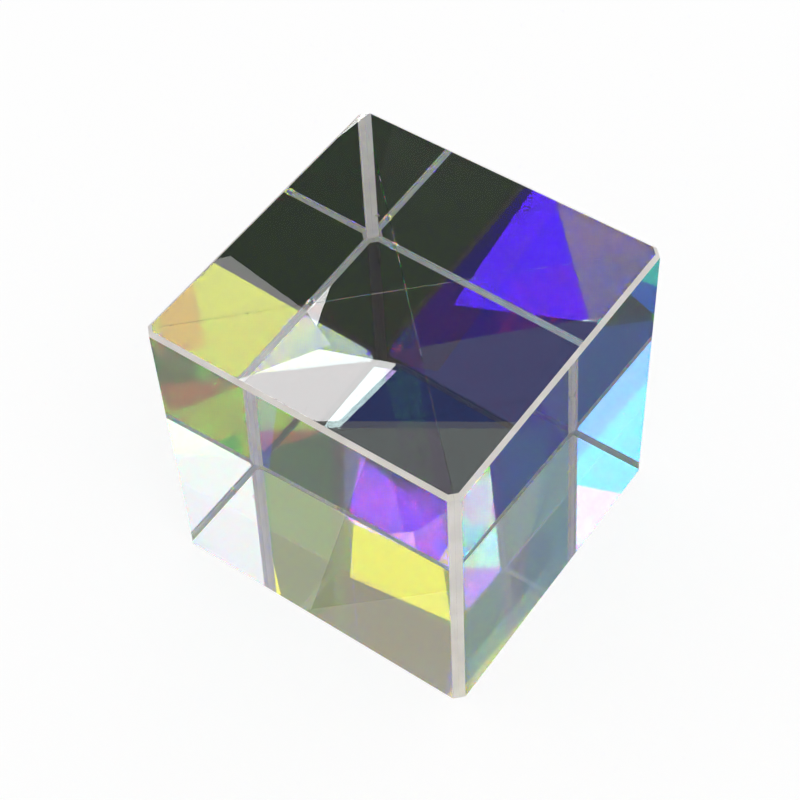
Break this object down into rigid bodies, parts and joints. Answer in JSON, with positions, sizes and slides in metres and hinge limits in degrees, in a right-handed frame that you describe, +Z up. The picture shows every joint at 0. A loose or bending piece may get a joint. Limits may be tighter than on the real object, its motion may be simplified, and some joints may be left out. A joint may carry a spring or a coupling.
{
  "type": "dichroic combiner prism",
  "caption": "Cemented glass block with crossed red- and blue-reflecting films that combine three colours of light into one beam.",
  "frame": {"origin": "centre of the underside, on the line where the two films cross", "axes": "+Z up the crossing line; exit face looks along -Y, red port along +X, green port along +Y, blue port along -X"},
  "size_m": [0.025, 0.025, 0.025],
  "materials": {
    "prism_glass": "polished faces, fine-ground bevels",
    "red_film": "vacuum-deposited dielectric film, mirror smooth",
    "blue_film": "vacuum-deposited dielectric film, mirror smooth",
    "optical_cement": "clear cured optical cement"
  },
  "bodies": {
    "root": {"exit_prism": "prism_glass", "red_port_prism": "prism_glass", "green_port_prism": "prism_glass", "blue_port_prism": "prism_glass", "red_film": "red_film", "blue_film_rear_left": "blue_film", "blue_film_front_right": "blue_film", "red_cement": "optical_cement", "blue_cement_rear_left": "optical_cement", "blue_cement_front_right": "optical_cement"}
  },
  "joints": []
}
